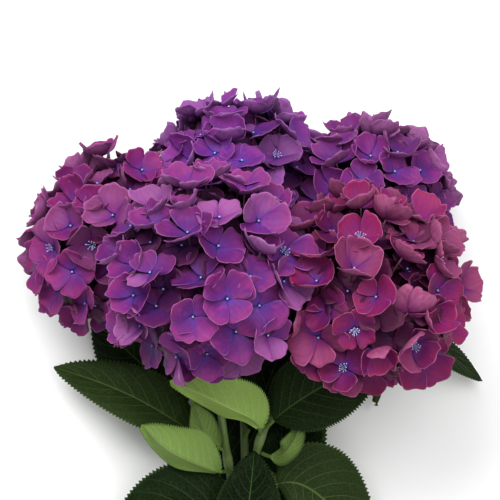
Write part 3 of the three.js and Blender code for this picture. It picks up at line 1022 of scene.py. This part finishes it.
def make_head(name, chance):
    material = sepal_material(f"sepals_{name}", LOOKS[name])
    centre, axis = head_frame(name)
    florets = head_florets(name, chance)
    hubs = [ray[-1] for ray in ray_paths(name)]
    for number, group in enumerate(clusters_of(florets, centre, axis), start=1):
        shell = Shell()
        atlas = Atlas(cells_needed(group))
        for floret in group:
            neighbours = nearby(floret, florets)
            for index in range(4):
                add_sepal(shell, atlas, floret, index, neighbours)
            if floret.is_open:
                add_stamens(shell, atlas, floret)
            else:
                add_bead(shell, atlas, floret)
            hub = min(hubs, key=lambda h: np.linalg.norm(h - floret.place))
            add_stalk(shell, atlas, floret, hub)
        piece = shell.build(f"florets_{name}_{number:02d}", material)
        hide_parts(f"head_{name}")


# ---------------- stems
def stem_top(name):
    centre, axis = head_frame(name)
    return centre - axis * (HEADS[name]["base"] + RAY_REACH * 0.7)


def centripetal(points, steps):
    """A centripetal Catmull-Rom curve through the points, at even steps along its length."""
    points = [np.array(p, dtype=float) for p in points]
    points = [2 * points[0] - points[1], *points, 2 * points[-1] - points[-2]]
    fine = []
    for p0, p1, p2, p3 in zip(points, points[1:], points[2:], points[3:]):
        d0, d1, d2 = (math.sqrt(np.linalg.norm(b - a)) for a, b in ((p0, p1), (p1, p2), (p2, p3)))
        start = (p1 - p0) / d0 - (p2 - p0) / (d0 + d1) + (p2 - p1) / d1
        stop = (p2 - p1) / d1 - (p3 - p1) / (d1 + d2) + (p3 - p2) / d2
        start, stop = start * d1, stop * d1
        for t in np.linspace(0, 1, CURVE_STEPS, endpoint=False):
            a, b = t**3, t**2
            fine.append(
                (2 * a - 3 * b + 1) * p1 + (a - 2 * b + t) * start
                + (3 * b - 2 * a) * p2 + (a - b) * stop
            )
    fine.append(points[-2])
    fine = np.array(fine)
    lengths = np.concatenate([[0], np.cumsum(np.linalg.norm(np.diff(fine, axis=0), axis=1))])
    even = np.linspace(0, lengths[-1], steps)
    return np.stack([np.interp(even, lengths, fine[:, k]) for k in range(3)], axis=1)


def stem_path(name):
    stem = STEMS[name]
    turn = math.radians(stem["ring"])
    x, z = BUNDLE_RADIUS * math.cos(turn), BUNDLE_RADIUS * math.sin(turn)
    in_band = (x, BAND_Y, BUNDLE_HEIGHT + z)
    return centripetal([stem["end"], in_band, stem["way"], stem_top(name)], STEM_STEPS)


def ray_paths(name):
    """The branches at the top of a stem, from inside the stem into the head."""
    _, axis = head_frame(name)
    across = unit(np.cross(vec(1, 0, 0), axis))
    paths = []
    for i in range(RAY_COUNT):
        turn = 2 * math.pi * i / RAY_COUNT
        side = across * math.cos(turn) + np.cross(axis, across) * math.sin(turn)
        start = stem_top(name) - axis * (STEM_RADIUS + RAY_STAGGER * i) + side * RAY_RADIUS / 2
        bend = start + axis * RAY_REACH * 0.6
        stop = start + axis * RAY_REACH + side * RAY_SPREAD
        paths.append(np.array([bezier((start, bend, stop), t) for t in np.linspace(0, 1, 10)]))
    return paths


def stem_radii(name, shares):
    """A stem's radius along its length, and how swollen it is at its leaf nodes."""
    nodes = STEMS[name]["nodes"]
    swelling = sum(np.exp(-(((shares - n) / NODE_HALF_LENGTH) ** 2)) for n in nodes)
    radii = STEM_RADIUS * (1 - (1 - STEM_TAPER) * shares) * (1 + NODE_SWELLING * swelling)
    for node in nodes:  # the fine scar line round a node
        radii = radii - SCAR_DEPTH * np.exp(-(((shares - node) / SCAR_HALF_LENGTH) ** 2))
    radii[0] -= SCAR_DEPTH  # the edge of the cut is slightly crushed
    return radii, swelling


def add_rays(shell, name):
    for ray in ray_paths(name):
        radii = np.linspace(RAY_RADIUS * 1.15, RAY_RADIUS * 0.75, len(ray))
        along = np.repeat(np.linspace(0, 4, len(ray)), RAY_SIDES)
        faces = ring_faces(len(ray), RAY_SIDES)
        shell.add(tube_points(ray, radii, RAY_SIDES), faces, (0, along, 0))


def cut_points(rim, path):
    """The cut face, ring by ring from its sunken pith outwards, all but its rim."""
    inward = unit(path[1] - path[0])
    return np.concatenate([
        path[0] + (rim - path[0]) * share + inward * sunk
        for share, sunk in zip(CUT_RADII, CUT_DEPTHS)
    ])


def make_stem(name, material):
    path = stem_path(name)
    shares = np.linspace(0, 1, STEM_STEPS)
    radii, swelling = stem_radii(name, shares)
    angles = ring_angles(STEM_SIDES)
    ribs = 1 + RIB_HEIGHT * np.cos(STEM_RIBS * angles)
    skin = tube_points(path, [r * ribs for r in radii], STEM_SIDES)
    cut = cut_points(skin[:STEM_SIDES], path)

    def after_cut(values):
        return np.concatenate([np.zeros(len(cut)), values])

    across = after_cut(np.tile(np.cos(angles), STEM_STEPS))
    along = after_cut(np.repeat(shares * 40, STEM_SIDES))
    in_cut = 1 - after_cut(np.ones(len(skin)))
    shell = Shell()
    shell.add(
        np.concatenate([cut, skin]),
        ring_faces(len(CUT_RADII) + STEM_STEPS, STEM_SIDES),
        (across, along, 0),
        (0, in_cut, after_cut(np.repeat(swelling, STEM_SIDES))),
    )
    add_rays(shell, name)
    piece = shell.build(f"green_stem_{name}", material)
    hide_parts(f"stem_{name}")


# ---------------- leaves
def blade_profile(share):
    widest = LEAF_BASE_POWER / (LEAF_BASE_POWER + LEAF_TIP_POWER)

    def shape(s):
        return s**LEAF_BASE_POWER * (1 - s) ** LEAF_TIP_POWER

    return shape(share) / shape(widest)


def tooth(share):
    """A saw tooth that points to the leaf's tip: it swells slowly and drops fast."""
    phase = (share * TEETH + 1e-6) % 1.0
    if phase < TOOTH_PEAK + 0.01:
        return phase / TOOTH_PEAK
    return (1 - phase) / (1 - TOOTH_PEAK)


def blade_part(share):
    """A share of the whole leaf's length as a share of its blade's, below 0 on the stalk."""
    return (share - PETIOLE_SHARE) / (1 - PETIOLE_SHARE)


def leaf_axes(leaf, share):
    """The midrib at a share of a leaf's length, and the ways its side and upper face point."""
    middle = bezier(leaf.midrib, share)
    along = unit(bezier_slope(leaf.midrib, share))
    up = np.array(leaf.up) * (1 - share) + np.array(leaf.up_tip) * share
    side = unit(np.cross(up, along))
    return middle, side, unit(np.cross(along, side))


def blade_relief(share, phase):
    """How far the blade stands off its plane: quilted, rippled, waved and drooping."""
    far = LEAF_FAR
    vein_phase = (share * VEIN_PAIRS - VEIN_SLANT * far - VEIN_BEND * far**2) % 1.0
    quilt = QUILT_HEIGHT * np.sin(math.pi * vein_phase) ** 0.7
    quilt *= np.minimum(1, (1 - far) * 4) * np.minimum(1, far * 5)
    turn = share * RIPPLES + phase + np.where(LEAF_SIDE > 0, 2.0, 0.0)
    ripple = RIPPLE_HEIGHT * far**2 * np.sin(turn)
    wave = WAVE_HEIGHT * math.sin(share * RIPPLES + 2 * phase)
    return quilt + ripple + wave - EDGE_DROOP * far**3


def leaf_size(leaf, share):
    """Half the leaf's width, its stalk's radius, and how flat it is, from 0 to 1."""
    blade_share = blade_part(share)
    blade = blade_profile(min(blade_share, 0.997)) if blade_share > 0 else 0.0
    petiole = PETIOLE_RADIUS * (1 - 0.8 * share)
    half_width = max(petiole, leaf.width * blade)
    return half_width, petiole, min(1.0, max(0.0, half_width / PETIOLE_RADIUS - 1))


def leaf_row(leaf, share, phase):
    """One ring round a leaf: its upper points from side to side, and its lower points back."""
    middle, side, normal = leaf_axes(leaf, share)
    half_width, petiole, flatness = leaf_size(leaf, share)
    fold = math.radians(leaf.fold) * flatness
    outermost = np.maximum(0, LEAF_FAR - TOOTH_BAND) / (1 - TOOTH_BAND)
    depth = min(TOOTH_DEPTH, 0.25 * half_width) * flatness * outermost
    reach = LEAF_FAR * half_width + depth * (tooth(blade_part(share)) - 0.6)
    relief = blade_relief(blade_part(share), phase) * flatness
    if leaf.fold < PRESSED_FOLD:
        relief *= PRESSED_RELIEF
    height = reach * math.sin(fold) + relief
    rib = MIDRIB_HEIGHT * np.exp(-((LEAF_FAR / MIDRIB_WIDTH) ** 2)) * (1 - share) * flatness
    thick = BLADE_HALF_THICKNESS * flatness * np.where(LEAF_FAR < 0.97, 1.0, 0.45)
    thick += (1 - flatness) * petiole * np.sqrt(np.maximum(1 - LEAF_FAR**2, 0.1))
    plane = middle + np.outer(LEAF_SIDE * reach * math.cos(fold), side)
    upper = plane + np.outer(height + thick - 0.35 * rib, normal)
    lower = plane + np.outer(height - thick - rib, normal)
    return np.concatenate([upper, lower[::-1]])


def leaf_shares():
    """Where a leaf has rows: evenly along its stalk, and at the same places on every tooth."""
    shares = list(np.linspace(0, PETIOLE_SHARE, 10, endpoint=False))
    for i in range(TEETH):
        shares += [PETIOLE_SHARE + (1 - PETIOLE_SHARE) * (i + step) / TEETH for step in TOOTH_STEPS]
    return [*shares, 1.0]


def is_stalk(leaf, share):
    return leaf_size(leaf, share)[2] < 0.5 and blade_part(share) < 0.5


def make_leaf(name, leaf, chance):
    phase = chance.uniform(0, 2 * math.pi)
    shares = leaf_shares()
    count, sides = len(shares), 2 * LEAF_COLUMNS
    across = LEAF_SIDE * LEAF_FAR
    across = np.tile([*across, *across[::-1]], count)
    along = np.repeat([blade_part(share) for share in shares], sides)
    under = np.tile(np.repeat([0, 1], LEAF_COLUMNS), count)
    stalk = np.repeat([is_stalk(leaf, share) for share in shares], sides)
    points = np.concatenate([leaf_row(leaf, share, phase) for share in shares])
    faces = flipped(ring_faces(count, sides))
    shell = Shell()
    shell.add(points, faces, (across, along, 0), (under, stalk, np.abs(across)))
    piece = shell.build(f"blade_{name}", leaf_material(f"leaf_{name}", leaf.light))
    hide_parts(f"leaf_{name}")


# ---------------- rubber band
def band_path(radius):
    """Once round the five stems: an arc outside each stem, straight from one to the next."""
    turns = sorted(math.radians(s["ring"]) for s in STEMS.values())
    half = math.pi / len(turns)
    outline = []
    for turn in turns:
        x, z = BUNDLE_RADIUS * math.cos(turn), BUNDLE_RADIUS * math.sin(turn)
        for angle in np.linspace(turn - half, turn + half, BAND_STEPS):
            outline.append((x + radius * math.cos(angle), z + radius * math.sin(angle)))
    return outline


def band_rings(outline, turn, offset):
    """The section of one turn of the band, at every point of its way round the stems."""
    centre = np.mean(outline, axis=0)
    rings = []
    for k, (x, z) in enumerate(outline):
        out = unit(np.array([x, z]) - centre)
        sway = BAND_SWAY * math.sin(k * 2 * math.pi / len(outline) + turn)
        for across, through in BAND_SECTION:
            shift = out * through * BAND_THICKNESS
            y = BAND_Y + offset + sway + across * BAND_TURN_WIDTH
            rings.append((x + shift[0], y, BUNDLE_HEIGHT + z + shift[1]))
    return np.array(rings)


def make_band(material):
    """Two turns of one flat band, side by side."""
    shell = Shell()
    outline = band_path(STEM_RADIUS + GAP + BAND_THICKNESS / 2)
    count, sides = len(outline), len(BAND_SECTION)
    around = np.tile(np.linspace(-1, 1, sides), count)
    along = np.repeat(np.arange(count) * 0.3, sides)
    faces = flipped(side_faces(count, sides, looped=True))
    for turn, offset in enumerate((-BAND_WIDTH / 4, BAND_WIDTH / 4)):
        shell.add(band_rings(outline, turn, offset), faces, (around, along, 0))
    piece = shell.build("tan_band", material)
    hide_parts("rubber_band")


# ---------------- camera, floor and light
def make_camera():
    camera = bpy.data.cameras.new("camera")
    camera.sensor_width = SENSOR_WIDTH
    camera.lens = SENSOR_WIDTH * (CAMERA_HEIGHT - FOCUS_HEIGHT) / VIEW_WIDTH
    holder = placed("camera", camera)
    holder.location = (SHIFT.x, SHIFT.y, CAMERA_HEIGHT)
    bpy.context.scene.camera = holder


def make_floor():
    far = FLOOR_HALF_SIZE
    mesh = bpy.data.meshes.new("floor")
    corners = [(-far, -far, 0), (far, -far, 0), (far, far, 0), (-far, far, 0)]
    mesh.from_pydata(corners, [], [(0, 1, 2, 3)])
    mesh.materials.append(floor_material())
    floor = placed("floor", mesh)


def area_light(name, place, size, power):
    light = bpy.data.lights.new(name, "AREA")
    light.shape = "RECTANGLE"
    light.size, light.size_y = size
    light.energy = power
    holder = placed(name, light)
    holder.location = place
    aim = Vector(LIGHTS_AIM) - Vector(place)
    holder.rotation_euler = aim.to_track_quat("-Z", "Y").to_euler()


def make_light():
    bpy.context.scene.view_settings.view_transform = "Standard"
    for light in AREA_LIGHTS:
        area_light(*light)
    world = bpy.data.worlds.new("studio")
    bpy.context.scene.world = world
    world.use_nodes = True
    back = world.node_tree.nodes["Background"]
    back.inputs["Color"].default_value = (1, 1, 1, 1)
    back.inputs["Strength"].default_value = ROOM_LIGHT


# ---------------- everything
def main():
    make_camera()
    chance = random.Random(SEED)
    for name in HEADS:
        make_head(name, chance)
    stem_look = stem_material()
    for name in STEMS:
        make_stem(name, stem_look)
    for name, leaf in LEAVES.items():
        make_leaf(name, leaf, chance)
    make_band(band_material())
    make_floor()
    make_light()


main()
